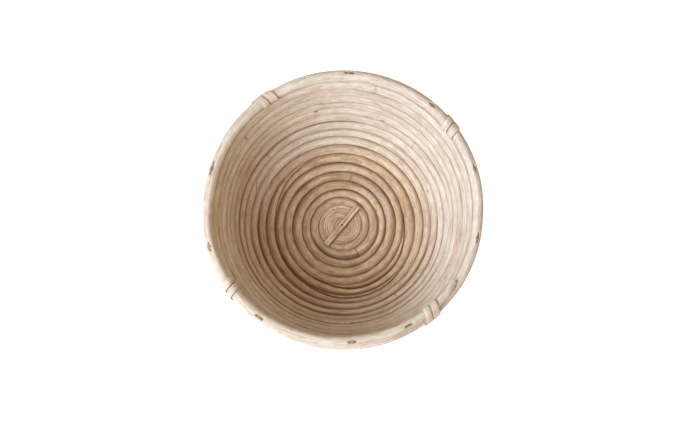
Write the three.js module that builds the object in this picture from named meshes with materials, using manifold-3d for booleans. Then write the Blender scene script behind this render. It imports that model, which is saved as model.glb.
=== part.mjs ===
// A round coiled rattan bowl: one spiral of thick cane wound round a centre of split cane, pegged turn
// to turn, with a cross stick on the floor and four bindings round the rim.
// Millimetres, Z up. The bowl stands on z = 0 and the box round it is centred over the origin.
import * as THREE from "three";
import { mergeVertices } from "three/addons/utils/BufferGeometryUtils.js";
import Module from "manifold-3d";

const { clamp, degToRad, lerp, smoothstep } = THREE.MathUtils;

// Driving dimensions of the winding. A turn number counts whole turns from heading 0 of the thick cane.
const TURN_STEPS = 24;
const TURN_GAP = 0.55;
const CORE_START_TURN = -5.4;
const CORE_STRIP = 2.65;
const CORE_GROWTH_TURNS = 2;
const CORE_HEIGHT = 6.6;
const COIL_START_TURN = -1 / 6;
const COIL_END_TURN = 15.9;
const FIRST_CANE_DIAMETER = 6.6;
const CANE_DIAMETER = 7.5;
const CANE_GROWTH_TURNS = 5;
const BEND_START_TURN = 2.5;
const BEND_END_TURN = 11.2;
const WALL_ANGLE = 71;
const RIM_SHIFT_X = 2.8;
const RIM_SHIFT_Y = 3.6;

// The upper wall bulges out on one side. There the last turn lies further in than the turn below it.
const BULGE = 4.9;
const BULGE_HEADING = 264;
const BULGE_START_HEIGHT = 25;
const BULGE_FULL_HEIGHT = 65;
const RIM_DRIFT = 4.7;
const RIM_DRIFT_START_TURN = 15.55;
const RIM_DRIFT_END_TURN = 15.78;

// The thick cane is spliced where one length runs out. Splice ends are cut on a slant.
const SPLICE_TURNS = [4.3, 7.45, 11.3, 12.9];
const SPLICE_SLANT = 8;
const END_CLEARANCE = 0.5;
const END_MARGIN = 0.1; // whole steps closer to an end than this share of a step are left out

// The free end on the rim is pared down to a tongue.
const TONGUE_TURNS = 0.16;
const TONGUE_THICKNESS = 4.4;

// Pegs and bindings
const FIT_CLEARANCE = 0.3;
const TURN_PEG_WIDTH = 2.2;
const TURN_PEG_SIDES = 4;
const TURN_PEG_ROWS = 2;
const TURN_PEG_FIRST_HEADING = 75;
const TURN_PEG_STAGGER = -7;
const TURN_PEG_LEVELS = 7;
const TURNS_PER_PEG = 2;
const RIM_PEG_DIAMETER = 3.2;
const RIM_PEG_SIDES = 5;
const RIM_PEG_SINK = 0.4;
const RIM_PEG_HEADINGS = [15.5, 49, 88, 165, 198.5, 234, 273, 297, 345.5];
const BOUND_TURNS = [1, 1, 1, 2]; // the last binding ties the tongue to the turn below it
const BINDING_FIRST_HEADING = 37.5;
const BINDING_LOOPS = 2;
const BINDING_WIDTH = 5.8;
const BINDING_THICKNESS = 0.9;
const BINDING_SPACING = 0.6;

// Cross stick and its brad
const STICK_LENGTH = 44;
const STICK_WIDTH = 4.8;
const STICK_THICKNESS = 2;
const STICK_HEADING = 51;
const STICK_OFFSET = 1.2;
const BRAD_DIAMETER = 1.2;
const BRAD_HEAD_DIAMETER = 2;
const BRAD_HEAD_HEIGHT = 0.5;
const BRAD_DEPTH = 5;
const BRAD_SIDES = 8;

const MERGE_DISTANCE = 1e-4;

const wasm = await Module();
wasm.setup();

// A closed geometry as a solid that can be joined and cut. Points closer than the merge distance become one.
function toSolid(geometry) {
  const bare = geometry.clone();
  bare.deleteAttribute("normal");
  bare.deleteAttribute("uv");
  const merged = mergeVertices(bare, MERGE_DISTANCE);
  const vertProperties = new Float32Array(merged.attributes.position.array);
  const triVerts = new Uint32Array(merged.index.array);
  return new wasm.Manifold(new wasm.Mesh({ numProp: 3, vertProperties, triVerts }));
}

// A solid back as a geometry with its own normals.
function toGeometry(solid) {
  const mesh = solid.getMesh();
  const geometry = new THREE.BufferGeometry();
  geometry.setAttribute("position", new THREE.BufferAttribute(mesh.vertProperties, 3));
  geometry.setIndex(new THREE.BufferAttribute(mesh.triVerts, 1));
  geometry.computeVertexNormals();
  return geometry;
}

// A tube through rings of points, closed by a flat cap at each end.
function tubeThrough(rings) {
  const sides = rings[0].length;
  const positions = rings.flat().flatMap((point) => point.toArray());
  const index = [];
  for (let ring = 0; ring < rings.length - 1; ring++) {
    for (let side = 0; side < sides; side++) {
      const here = ring * sides + side;
      const beside = ring * sides + ((side + 1) % sides);
      index.push(here, here + sides, beside, beside, here + sides, beside + sides);
    }
  }
  const last = (rings.length - 1) * sides;
  for (let side = 1; side < sides - 1; side++) {
    index.push(0, side, side + 1);
    index.push(last, last + side + 1, last + side);
  }
  const geometry = new THREE.BufferGeometry();
  geometry.setAttribute("position", new THREE.Float32BufferAttribute(positions, 3));
  geometry.setIndex(index);
  geometry.computeVertexNormals();
  return geometry;
}

// The profile of the winding

// Distance along the profile from one turn to the next.
function pitchAt(turn) {
  const sinceStart = turn - COIL_START_TURN;
  const strip = lerp(CORE_STRIP, FIRST_CANE_DIAMETER, clamp(1 + sinceStart / CORE_GROWTH_TURNS, 0, 1));
  const cane = lerp(FIRST_CANE_DIAMETER, CANE_DIAMETER, clamp(sinceStart / CANE_GROWTH_TURNS, 0, 1));
  return (sinceStart < 0 ? strip : cane) + TURN_GAP;
}

// The groove on the inner side of every step of the winding, as radius and height. The eye of the
// winding is left open for the brad.
const firstStep = Math.round(CORE_START_TURN * TURN_STEPS);
const coilStartStep = Math.round(COIL_START_TURN * TURN_STEPS);
const coilEndStep = COIL_END_TURN * TURN_STEPS;
const grooves = [];
const grooveEnd = new THREE.Vector2(BRAD_DIAMETER / 2 + FIT_CLEARANCE, 0);
for (let step = firstStep; step <= coilEndStep + TURN_STEPS + 1; step++) {
  grooves.push(grooveEnd.clone());
  const turn = (step + 0.5) / TURN_STEPS;
  const climb = degToRad(WALL_ANGLE * smoothstep(turn, BEND_START_TURN, BEND_END_TURN));
  const advance = pitchAt(turn) / TURN_STEPS;
  grooveEnd.x += advance * Math.cos(climb);
  grooveEnd.y += advance * Math.sin(climb);
}

// Corners of the cane's section, in half widths along and across the profile. Six sides of these
// proportions enclose the area of a round cane, with a flat underneath and one on the inside.
const CANE_CORNERS = [[1, 0], [0.577, 1], [-0.577, 1], [-1, 0], [-0.577, -1], [0.577, -1]];
const STRIP_CORNERS = [[1, 1], [-1, 1], [-1, -1], [1, -1]];

// How much of its thickness the cane keeps at a step: all of it, until the tongue at the rim.
function thicknessShare(step) {
  const pared = clamp(1 - (coilEndStep - step) / (TONGUE_TURNS * TURN_STEPS), 0, 1);
  return lerp(1, TONGUE_THICKNESS / CANE_DIAMETER, pared);
}

// Section of the winding at a whole step: its middle, its two directions and its half widths.
function sectionAt(step) {
  const inner = grooves[step - firstStep];
  const outer = grooves[step - firstStep + TURN_STEPS];
  const along = outer.clone().sub(inner);
  const half = (along.length() - TURN_GAP) / 2;
  along.normalize();
  const across = new THREE.Vector2(-along.y, along.x);
  const thick = step >= coilStartStep;
  const share = thicknessShare(step);
  const middle = inner.clone().add(outer).multiplyScalar(0.5);
  middle.addScaledVector(along, half * (share - 1));
  middle.x -= RIM_DRIFT * smoothstep(step / TURN_STEPS, RIM_DRIFT_START_TURN, RIM_DRIFT_END_TURN);
  middle.y += thick ? half : CORE_HEIGHT / 2;
  const halfAcross = thick ? half * share : CORE_HEIGHT / 2;
  return { middle, along, across, halfAlong: half * share, halfAcross };
}

// A point of the profile plane turned to the heading of a step, with the bulge of the wall there.
function turned(point, step) {
  const heading = (step / TURN_STEPS) * 2 * Math.PI;
  const facing = Math.max(0, Math.cos(heading - degToRad(BULGE_HEADING)));
  const radius = point.x + BULGE * facing * smoothstep(point.y, BULGE_START_HEIGHT, BULGE_FULL_HEIGHT);
  return new THREE.Vector3(radius * Math.cos(heading), radius * Math.sin(heading), point.y);
}

function wholeRing(step, corners) {
  const { middle, along, across, halfAlong, halfAcross } = sectionAt(step);
  return corners.map(([a, b]) => {
    const corner = middle.clone().addScaledVector(along, a * halfAlong);
    return turned(corner.addScaledVector(across, b * halfAcross), step);
  });
}

// Between whole steps the winding runs straight.
function cornerAt(step, corners, corner) {
  const before = Math.floor(step);
  const start = wholeRing(before, corners)[corner];
  return start.lerp(wholeRing(before + 1, corners)[corner], step - before);
}

function ringAt(step, corners) {
  return corners.map((_, corner) => cornerAt(step, corners, corner));
}

function middleAt(step) {
  const before = Math.floor(step);
  const start = turned(sectionAt(before).middle, before);
  return start.lerp(turned(sectionAt(before + 1).middle, before + 1), step - before);
}

// Length of one straight step of the winding.
function stepLength(step) {
  const before = Math.floor(step);
  return middleAt(before).distanceTo(middleAt(before + 1));
}

// An end of a run at a step, with the nearest step that is clear of it in the run's own direction.
function squareEnd(step, corners, inward) {
  return { ring: ringAt(step, corners), clear: step + inward * END_MARGIN };
}

// A spliced end is cut on a slant, so that its outer side lies further along than its inner side.
function splicedEnd(step, inward) {
  const length = stepLength(step);
  const moved = (inward * END_CLEARANCE) / 2;
  const ring = CANE_CORNERS.map(([a], corner) => {
    const offset = (a * SPLICE_SLANT) / 2 + moved;
    return cornerAt(step + offset / length, CANE_CORNERS, corner);
  });
  return { ring, clear: step + inward * (SPLICE_SLANT / 2 / length + END_MARGIN) };
}

// The rings of a run of the winding: its two ends and each whole step that is clear of them.
function runBetween(start, end, corners) {
  const rings = [start.ring];
  for (let step = Math.ceil(start.clear); step <= end.clear; step++) rings.push(wholeRing(step, corners));
  rings.push(end.ring);
  return rings;
}

// Least distance from the points of one loop to the points of the next, over a whole run of rings.
function leastGap(rings, loopSteps) {
  let least = Infinity;
  for (let ring = 0; ring + loopSteps < rings.length; ring++) {
    for (const point of rings[ring]) {
      for (const other of rings[ring + loopSteps]) least = Math.min(least, point.distanceTo(other));
    }
  }
  return least;
}

// Straight pegs and their holes

// A prism of a given width across its flats from one point to another, longer by extra at both ends.
function prismBetween(from, to, width, sides, extra) {
  const axis = to.clone().sub(from);
  const radius = width / 2 / Math.cos(Math.PI / sides);
  const prism = new THREE.CylinderGeometry(radius, radius, axis.length() + 2 * extra, sides);
  const middle = from.clone().add(to).multiplyScalar(0.5);
  const turn = new THREE.Quaternion().setFromUnitVectors(new THREE.Vector3(0, 1, 0), axis.normalize());
  return prism.applyQuaternion(turn).translate(middle.x, middle.y, middle.z);
}

function pegAndHole(from, to, width, sides, extra) {
  const peg = prismBetween(from, to, width, sides, 0);
  const hole = toSolid(prismBetween(from, to, width + 2 * FIT_CLEARANCE, sides, extra));
  return { peg, hole };
}

// Hidden pegs, each driven from the middle of one turn to the middle of the next but one.
const turnPegs = [];
for (let row = 0; row < TURN_PEG_ROWS; row++) {
  for (let level = 0; level < TURN_PEG_LEVELS; level++) {
    const stagger = level % 2 ? TURN_PEG_STAGGER : 0;
    const heading = TURN_PEG_FIRST_HEADING + (row * 360) / TURN_PEG_ROWS + stagger;
    const lower = heading / 360 + level * TURNS_PER_PEG;
    const from = middleAt(lower * TURN_STEPS);
    const to = middleAt((lower + TURNS_PER_PEG) * TURN_STEPS);
    const made = pegAndHole(from, to, TURN_PEG_WIDTH, TURN_PEG_SIDES, FIT_CLEARANCE);
    turnPegs.push({ name: `turn_peg_${row + 1}_${level + 1}`, ...made });
  }
}

// The top turn at a heading, as a step number.
function topStep(heading) {
  const turns = heading / 360;
  return (turns + Math.floor(COIL_END_TURN - turns)) * TURN_STEPS;
}

// Rim pegs, driven from the top of the rim into the middle of the turn below.
const rimPegs = RIM_PEG_HEADINGS.map((heading, place) => {
  const step = topStep(heading);
  const crest = cornerAt(step, CANE_CORNERS, 0);
  const to = middleAt(step - TURN_STEPS);
  const from = crest.addScaledVector(to.clone().sub(crest).normalize(), RIM_PEG_SINK);
  const made = pegAndHole(from, to, RIM_PEG_DIAMETER, RIM_PEG_SIDES, RIM_PEG_SINK + FIT_CLEARANCE);
  return { name: `rim_peg_${place + 1}`, ...made };
});

// Rim bindings

// The outline round the top turn, or round the two top turns, from the top down the inside of the wall.
function boundOutline(step, turns) {
  const upper = ringAt(step, CANE_CORNERS);
  if (turns === 1) return upper;
  const lower = ringAt(step - TURN_STEPS, CANE_CORNERS);
  return [...upper.slice(0, 3), ...lower.slice(2), upper[5]];
}

function outlineCorners(turns) {
  return CANE_CORNERS.length + 2 * (turns - 1);
}

// The lowest corner of the outline and its two neighbours lie under the bound turns.
function underCorners(turns) {
  const lowest = outlineCorners(turns) / 2;
  return [lowest - 1, lowest, lowest + 1];
}

// Corner of that outline at a step, set off outwards by a distance.
function bindingPoint(step, turns, corner, distance) {
  const outline = boundOutline(step, turns);
  const heading = (step / TURN_STEPS) * 2 * Math.PI;
  const out = new THREE.Vector3(Math.cos(heading), Math.sin(heading), 0);
  const flat = outline.map((point) => new THREE.Vector2(point.dot(out), point.z));
  const count = flat.length;
  const before = flat[corner].clone().sub(flat[(corner + count - 1) % count]).normalize();
  const after = flat[(corner + 1) % count].clone().sub(flat[corner]).normalize();
  const normalBefore = new THREE.Vector2(before.y, -before.x);
  const normalAfter = new THREE.Vector2(after.y, -after.x);
  const spread = normalBefore.clone().add(normalAfter);
  spread.multiplyScalar(distance / (1 + normalBefore.dot(normalAfter)));
  return outline[corner].clone().addScaledVector(out, spread.x).setZ(outline[corner].z + spread.y);
}

// Section of a strip at a corner of that outline, between two distances from the canes.
function bindingRing(step, turns, corner, near, far, half) {
  const left = step - half / stepLength(step);
  const right = step + half / stepLength(step);
  return [
    bindingPoint(left, turns, corner, near),
    bindingPoint(right, turns, corner, near),
    bindingPoint(right, turns, corner, far),
    bindingPoint(left, turns, corner, far),
  ];
}

// Rings of a strip wound round the bound turns. It starts and ends low on their inside.
const bindingFar = FIT_CLEARANCE + BINDING_THICKNESS;
const bindingAdvance = BINDING_WIDTH + BINDING_SPACING;
function bindingRings(heading, turns) {
  const middleStep = topStep(heading);
  const corners = outlineCorners(turns);
  const rings = [];
  for (let place = 0; place <= BINDING_LOOPS * corners; place++) {
    const moved = (place / corners - BINDING_LOOPS / 2) * bindingAdvance;
    const step = middleStep + moved / stepLength(middleStep);
    const corner = (underCorners(turns)[0] + place) % corners;
    rings.push(bindingRing(step, turns, corner, FIT_CLEARANCE, bindingFar, BINDING_WIDTH / 2));
  }
  return rings;
}

// The notch in the next turn below, where the strip passes under the bound ones.
function bindingNotch(heading, turns) {
  const half = (BINDING_LOOPS * bindingAdvance + BINDING_WIDTH) / 2 + FIT_CLEARANCE;
  const rings = underCorners(turns).map((corner) =>
    bindingRing(topStep(heading), turns, corner, FIT_CLEARANCE / 2, bindingFar + FIT_CLEARANCE, half),
  );
  return toSolid(tubeThrough(rings));
}

const bindings = BOUND_TURNS.map((turns, place) => {
  const heading = BINDING_FIRST_HEADING + (place * 360) / BOUND_TURNS.length;
  const rings = bindingRings(heading, turns);
  const gap = leastGap(rings, outlineCorners(turns));
  return { name: `rim_binding_${place + 1}`, rings, gap, notch: bindingNotch(heading, turns) };
});

// Cross stick and brad

// Height of the tallest turn that the stick reaches.
function stickSeat() {
  const reach = STICK_LENGTH / 2 + STICK_OFFSET;
  let seat = CORE_HEIGHT;
  for (let step = coilStartStep; step < coilEndStep; step++) {
    const { middle, halfAlong, halfAcross } = sectionAt(step);
    if (middle.x - halfAlong < reach) seat = Math.max(seat, middle.y + halfAcross);
  }
  return seat;
}

const stickBottom = stickSeat() + FIT_CLEARANCE;
const stickTop = stickBottom + STICK_THICKNESS;

// The stick lies across the eye of the winding, where the brad goes through it.
function makeStick() {
  const stick = new THREE.BoxGeometry(STICK_LENGTH, STICK_WIDTH, STICK_THICKNESS);
  stick.translate(STICK_OFFSET, 0, stickBottom + STICK_THICKNESS / 2).rotateZ(degToRad(STICK_HEADING));
  const below = new THREE.Vector3(0, 0, stickBottom);
  const above = new THREE.Vector3(0, 0, stickTop);
  const holeWidth = BRAD_DIAMETER + 2 * FIT_CLEARANCE;
  const hole = prismBetween(below, above, holeWidth, BRAD_SIDES, FIT_CLEARANCE);
  return toGeometry(toSolid(stick).subtract(toSolid(hole)));
}

function makeBrad() {
  const headBottom = stickTop + FIT_CLEARANCE;
  const profile = [
    new THREE.Vector2(0, stickBottom - BRAD_DEPTH),
    new THREE.Vector2(BRAD_DIAMETER / 2, stickBottom - BRAD_DEPTH),
    new THREE.Vector2(BRAD_DIAMETER / 2, headBottom),
    new THREE.Vector2(BRAD_HEAD_DIAMETER / 2, headBottom),
    new THREE.Vector2(BRAD_HEAD_DIAMETER / 2, headBottom + BRAD_HEAD_HEIGHT),
    new THREE.Vector2(0, headBottom + BRAD_HEAD_HEIGHT),
  ];
  return new THREE.LatheGeometry(profile, BRAD_SIDES).rotateX(Math.PI / 2);
}

// The winding itself, cut for its pegs and bindings

const holes = [...turnPegs, ...rimPegs].map((peg) => peg.hole).reduce((all, hole) => all.add(hole));
const notches = bindings.map((binding) => binding.notch).reduce((all, notch) => all.add(notch));

const coreEnd = coilStartStep - END_CLEARANCE / stepLength(coilStartStep - 1);
const coreRings = runBetween(
  squareEnd(firstStep, STRIP_CORNERS, 1),
  squareEnd(coreEnd, STRIP_CORNERS, -1),
  STRIP_CORNERS,
);

// The coil's lengths of cane, from the floor to the rim.
const CANE_NAMES = ["floor_cane", "floor_edge_cane", "lower_wall_cane", "upper_wall_cane", "rim_cane"];
const spliceSteps = SPLICE_TURNS.map((turn) => Math.floor(turn * TURN_STEPS) + 0.5);
const canes = CANE_NAMES.map((name, place) => {
  const first = place === 0;
  const last = place === CANE_NAMES.length - 1;
  const start = first ? squareEnd(coilStartStep, CANE_CORNERS, 1) : splicedEnd(spliceSteps[place - 1], 1);
  const end = last ? squareEnd(coilEndStep, CANE_CORNERS, -1) : splicedEnd(spliceSteps[place], -1);
  return { name, rings: runBetween(start, end, CANE_CORNERS) };
});

// Finishes
const floorCane = new THREE.MeshStandardMaterial({ color: 0xb9987a, roughness: 0.75, metalness: 0 });
const wallCane = new THREE.MeshStandardMaterial({ color: 0xd3b89a, roughness: 0.7, metalness: 0 });
const rimCane = new THREE.MeshStandardMaterial({ color: 0xe6d5bf, roughness: 0.65, metalness: 0 });
const splitCane = new THREE.MeshStandardMaterial({ color: 0xc4a686, roughness: 0.8, metalness: 0 });
const bindingCane = new THREE.MeshStandardMaterial({ color: 0xe3cfb4, roughness: 0.55, metalness: 0 });
const pegWood = new THREE.MeshStandardMaterial({ color: 0xa97f52, roughness: 0.8, metalness: 0 });
const bradSteel = new THREE.MeshStandardMaterial({ color: 0x4a4440, roughness: 0.5, metalness: 0.9 });

function addPiece(group, name, geometry, material) {
  const mesh = new THREE.Mesh(geometry, material);
  mesh.name = name;
  group.add(mesh);
}

// The rim stands a little off the middle of the floor, so the whole winding leans.
const rimHeight = middleAt(coilEndStep - TURN_STEPS / 2).z;
const bowl = new THREE.Group();
bowl.matrixAutoUpdate = false;
bowl.matrix.makeShear(0, 0, 0, 0, RIM_SHIFT_X / rimHeight, RIM_SHIFT_Y / rimHeight);

const floor = new THREE.Group();
addPiece(floor, "centre_winding", toGeometry(toSolid(tubeThrough(coreRings)).subtract(holes)), splitCane);
addPiece(floor, "cross_stick", makeStick(), splitCane);
addPiece(floor, "stick_brad", makeBrad(), bradSteel);

const coil = new THREE.Group();
const caneFinishes = [floorCane, floorCane, wallCane, wallCane, rimCane];
canes.forEach(({ name, rings }, place) => {
  const cut = toSolid(tubeThrough(rings)).subtract(holes).subtract(notches);
  addPiece(coil, name, toGeometry(cut), caneFinishes[place]);
});

const pegs = new THREE.Group();
for (const { name, peg } of [...turnPegs, ...rimPegs]) addPiece(pegs, name, peg, pegWood);

const rim = new THREE.Group();
for (const { name, rings } of bindings) addPiece(rim, name, tubeThrough(rings), bindingCane);

bowl.add(floor, coil, pegs, rim);
bowl.updateMatrixWorld(true);
const boxMiddle = new THREE.Box3().setFromObject(bowl, true).getCenter(new THREE.Vector3());
bowl.matrix.setPosition(-boxMiddle.x, -boxMiddle.y, 0);
const part = new THREE.Group();
part.add(bowl);

const coilRings = [];
for (let step = coilStartStep; step <= coilEndStep; step++) coilRings.push(wholeRing(step, CANE_CORNERS));
console.log("least gap between turns of cane:", leastGap(coilRings, TURN_STEPS).toFixed(3), "mm");
console.log("least gap between turns of the centre:", leastGap(coreRings, TURN_STEPS).toFixed(3), "mm");
const bindingGaps = bindings.map(({ gap }) => gap);
console.log("least gap between loops of a binding:", Math.min(...bindingGaps).toFixed(3), "mm");

export default part;
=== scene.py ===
# %% [markdown]
# A coiled rattan bowl. One long cane is wound in a spiral from the floor up to the rim, and the turns are
# pegged to each other. The imported model already holds every piece at its real size, so this lesson loads it
# first and keeps its box.

# %% Load the imported model
import math

import bmesh
import bpy
from mathutils import Matrix, Vector, noise


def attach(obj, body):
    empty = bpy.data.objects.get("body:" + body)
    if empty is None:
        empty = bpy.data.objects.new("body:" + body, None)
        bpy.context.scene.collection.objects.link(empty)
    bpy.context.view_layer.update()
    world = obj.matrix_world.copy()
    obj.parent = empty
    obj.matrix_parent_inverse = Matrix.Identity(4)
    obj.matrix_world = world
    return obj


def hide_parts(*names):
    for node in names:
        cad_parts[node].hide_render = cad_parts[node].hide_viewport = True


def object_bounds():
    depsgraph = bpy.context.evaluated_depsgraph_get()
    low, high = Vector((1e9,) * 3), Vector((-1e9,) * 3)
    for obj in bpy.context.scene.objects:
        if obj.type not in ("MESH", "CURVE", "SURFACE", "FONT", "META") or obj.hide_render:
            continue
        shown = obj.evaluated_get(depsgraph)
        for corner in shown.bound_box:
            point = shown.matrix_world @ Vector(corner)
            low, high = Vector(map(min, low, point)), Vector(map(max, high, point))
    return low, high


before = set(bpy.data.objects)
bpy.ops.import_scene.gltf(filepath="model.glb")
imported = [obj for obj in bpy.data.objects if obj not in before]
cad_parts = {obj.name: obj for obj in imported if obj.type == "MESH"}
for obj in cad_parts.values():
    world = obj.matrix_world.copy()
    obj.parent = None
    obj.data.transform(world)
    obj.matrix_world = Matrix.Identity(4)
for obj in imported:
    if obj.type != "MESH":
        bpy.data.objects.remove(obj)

cad_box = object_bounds()
cad_size = [round(size, 4) for size in cad_box[1] - cad_box[0]]
print("loaded", len(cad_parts), "pieces in a box of", cad_size)

# %% [markdown]
# The winding is a spiral whose place is counted in turns: turn 0 is where the thick cane first passes heading
# 0, to the right, and each whole number is one round further out. These are the sizes that drive it. They
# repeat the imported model's own sizes, because every new piece has to lie where the solid lies.

# %% Sizes of the winding
MM = 0.001
TURN_GAP = 0.55 * MM
CORE_START_TURN = -130 / 24
CORE_STRIP = 2.65 * MM
CORE_GROWTH_TURNS = 2
CORE_HEIGHT = 6.6 * MM
COIL_START_TURN = -1 / 6
COIL_END_TURN = 15.9
FIRST_CANE_DIAMETER = 6.6 * MM
CANE_DIAMETER = 7.5 * MM
CANE_GROWTH_TURNS = 5
BEND_START_TURN = 2.5
BEND_END_TURN = 11.2
WALL_ANGLE = math.radians(71)
RIM_SHIFT = Vector((2.8 * MM, 3.6 * MM))
BULGE = 4.9 * MM
BULGE_HEADING = math.radians(264)
BULGE_START_HEIGHT = 25 * MM
BULGE_FULL_HEIGHT = 65 * MM
RIM_DRIFT = 4.7 * MM
RIM_DRIFT_START_TURN = 15.55
RIM_DRIFT_END_TURN = 15.78
EYE_RADIUS = 0.9 * MM
print("turns of cane:", COIL_END_TURN - COIL_START_TURN)

# %% [markdown]
# Seen in a slice through the middle, the grooves between the turns follow one smooth curve: flat over the
# floor, then bending up into the wall. A short loop walks along that curve and notes radius and height, so
# that any turn can be looked up later. Hand-wound cane is never quite even, so each groove also wanders: a
# little everywhere, and up to two millimetres at a few places, listed with their turn. The wander belongs to
# the groove and not to the cane, so two neighbours always share it and no gap opens. The small wander is
# noise, read at a place of three numbers. Here and later, plain numbers in such a place only pick a pattern.

# %% Curve of the grooves
TABLE_STEPS = 48
TURNS_PAST_END = 1.2
WANDER_WIDTH = 0.17
LARGE_WANDERS = [
    (0.88, 1.0), (1.38, -0.6), (2.0, -0.6), (4.0, -1.0), (4.3, 0.6), (4.85, 2.0), (5.88, 1.0),
    (8.35, -0.8), (9.85, 0.8), (10.35, 0.8), (11.38, 0.9), (12.05, -1.1),
]
SMALL_WANDER = 0.4 * MM
WANDER_FADES_IN = (0, 1)
WANDER_FADES_OUT = (13.6, 14.4)


def smooth(low, high, value):
    share = min(max((value - low) / (high - low), 0), 1)
    return share * share * (3 - 2 * share)


def mix(first, second, share):
    return first + (second - first) * min(max(share, 0), 1)


def noise_at(first, second, third):
    return noise.noise(Vector((first, second, third)))


def pitch(turn):
    since_start = turn - COIL_START_TURN
    if since_start < 0:
        return mix(CORE_STRIP, FIRST_CANE_DIAMETER, 1 + since_start / CORE_GROWTH_TURNS) + TURN_GAP
    return mix(FIRST_CANE_DIAMETER, CANE_DIAMETER, since_start / CANE_GROWTH_TURNS) + TURN_GAP


def slope(turn):
    climb = WALL_ANGLE * smooth(BEND_START_TURN, BEND_END_TURN, turn)
    return Vector((math.cos(climb), math.sin(climb)))


groove_table = [Vector((EYE_RADIUS, 0))]
while len(groove_table) < (COIL_END_TURN + TURNS_PAST_END - CORE_START_TURN) * TABLE_STEPS:
    turn = CORE_START_TURN + (len(groove_table) - 0.5) / TABLE_STEPS
    groove_table.append(groove_table[-1] + slope(turn) * pitch(turn) / TABLE_STEPS)


def wander(turn):
    large = 0.0
    for place, size in LARGE_WANDERS:
        large += size * MM * math.exp(-(((turn - place) / WANDER_WIDTH) ** 2))
    small = SMALL_WANDER * noise_at(turn * 2.1, 0.7, 0)
    return large + small * smooth(*WANDER_FADES_IN, turn) * (1 - smooth(*WANDER_FADES_OUT, turn))


def groove(turn):
    place = (turn - CORE_START_TURN) * TABLE_STEPS
    before = min(max(int(place), 0), len(groove_table) - 2)
    even = groove_table[before].lerp(groove_table[before + 1], place - before)
    return even + slope(turn) * wander(turn)


print("grooves from radius", EYE_RADIUS, "to", [round(size, 4) for size in groove_table[-1]])

# %% [markdown]
# A slice of the cane at one turn lies between the groove inside it and the groove outside it. The slice has a
# middle, a direction along the curve (outwards on the floor, upwards on the wall) and a direction across it
# (up on the floor, inwards on the wall). The bowl leans and bulges a little, as hand-wound ones do: its rim
# is not quite over the middle of its floor, the near side of the wall stands out, and the last turn lies
# further in there than the turn below it. One function turns a point of the slice into a place in the room
# and adds all that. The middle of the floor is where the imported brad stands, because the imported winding
# starts round it.

# %% Slices through the cane
PRESS = 0.06 * MM


class Slice:
    def __init__(self, turn):
        inner, outer = groove(turn), groove(turn + 1)
        reach = outer - inner
        self.along = reach.normalized()
        self.across = Vector((-self.along.y, self.along.x))
        self.width = reach.length + PRESS
        self.height = pitch(turn + 0.5) - TURN_GAP
        self.middle = (inner + outer) / 2 + Vector((0, self.height / 2))
        self.middle.x -= RIM_DRIFT * smooth(RIM_DRIFT_START_TURN, RIM_DRIFT_END_TURN, turn)


RIM_HEIGHT = Slice(COIL_END_TURN - 0.5).middle.y
brad_points = [vert.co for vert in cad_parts["stick_brad"].data.vertices]
brad_top = max(point.z for point in brad_points)
top_points = [point for point in brad_points if point.z > brad_top - MM / 4]
brad_middle = sum(top_points, Vector()) / len(top_points)
FLOOR_MIDDLE = brad_middle.xy - RIM_SHIFT * brad_top / RIM_HEIGHT


def in_room(point, turn):
    heading = turn * 2 * math.pi
    facing = max(0, math.cos(heading - BULGE_HEADING))
    radius = point.x + BULGE * facing * smooth(BULGE_START_HEIGHT, BULGE_FULL_HEIGHT, point.y)
    outward = Vector((math.cos(heading), math.sin(heading)))
    level = FLOOR_MIDDLE + outward * radius + RIM_SHIFT * point.y / RIM_HEIGHT
    return level.to_3d() + Vector((0, 0, point.y))


def turns_per_metre(turn):
    return 1 / (2 * math.pi * max(groove(turn + 0.5).x, MM))


print("rim height:", round(RIM_HEIGHT, 4))

# %% [markdown]
# The camera looks down into the bowl, a little from the front. Its height and lens come from fitting the
# grooves and the rim of the photograph, whose frame is 700 by 426 pixels.

# %% Camera
PHOTO_WIDTH = 700
LENS_PIXELS = 1027
SENSOR_WIDTH = 36
CAMERA_ELEVATION = math.radians(78.3)
CAMERA_DISTANCE = 0.869
LOOK_AT = FLOOR_MIDDLE.to_3d() + Vector((6.9 * MM, 11.7 * MM, 3.5 * MM))

scene = bpy.context.scene
camera = bpy.data.objects.new("camera", bpy.data.cameras.new("camera"))
camera.data.sensor_width = SENSOR_WIDTH
camera.data.lens = LENS_PIXELS / PHOTO_WIDTH * SENSOR_WIDTH
back = Vector((0, -math.cos(CAMERA_ELEVATION), math.sin(CAMERA_ELEVATION)))
camera.location = LOOK_AT + back * CAMERA_DISTANCE
camera.rotation_euler = (math.pi / 2 - CAMERA_ELEVATION, 0, 0)
scene.collection.objects.link(camera)
scene.camera = camera
scene.view_settings.view_transform = "Standard"
print("camera at", [round(size, 3) for size in camera.location])

# %% [markdown]
# A material is a small graph of nodes. A few helpers keep the graphs short to write: one makes a node and
# fills its sockets with values or links, others mix two colours, multiply, or stretch a range. Colours are
# written as they look on a screen and turned into the linear values that the renderer counts in.

# %% Helpers for materials
WHITE = (1, 1, 1, 1)


def paint(red, green, blue):
    def linear(value):
        share = value / 255
        return share / 12.92 if share <= 0.04045 else ((share + 0.055) / 1.055) ** 2.4

    return (linear(red), linear(green), linear(blue), 1)


def fill(tree, socket, value):
    if isinstance(value, bpy.types.NodeSocket):
        tree.links.new(value, socket)
    else:
        socket.default_value = value


def make_node(tree, kind, settings=(), **values):
    node = tree.nodes.new("ShaderNode" + kind)
    for name, value in dict(settings).items():
        setattr(node, name, value)
    for name, value in values.items():
        fill(tree, node.inputs[name.replace("_", " ")], value)
    return node


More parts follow.
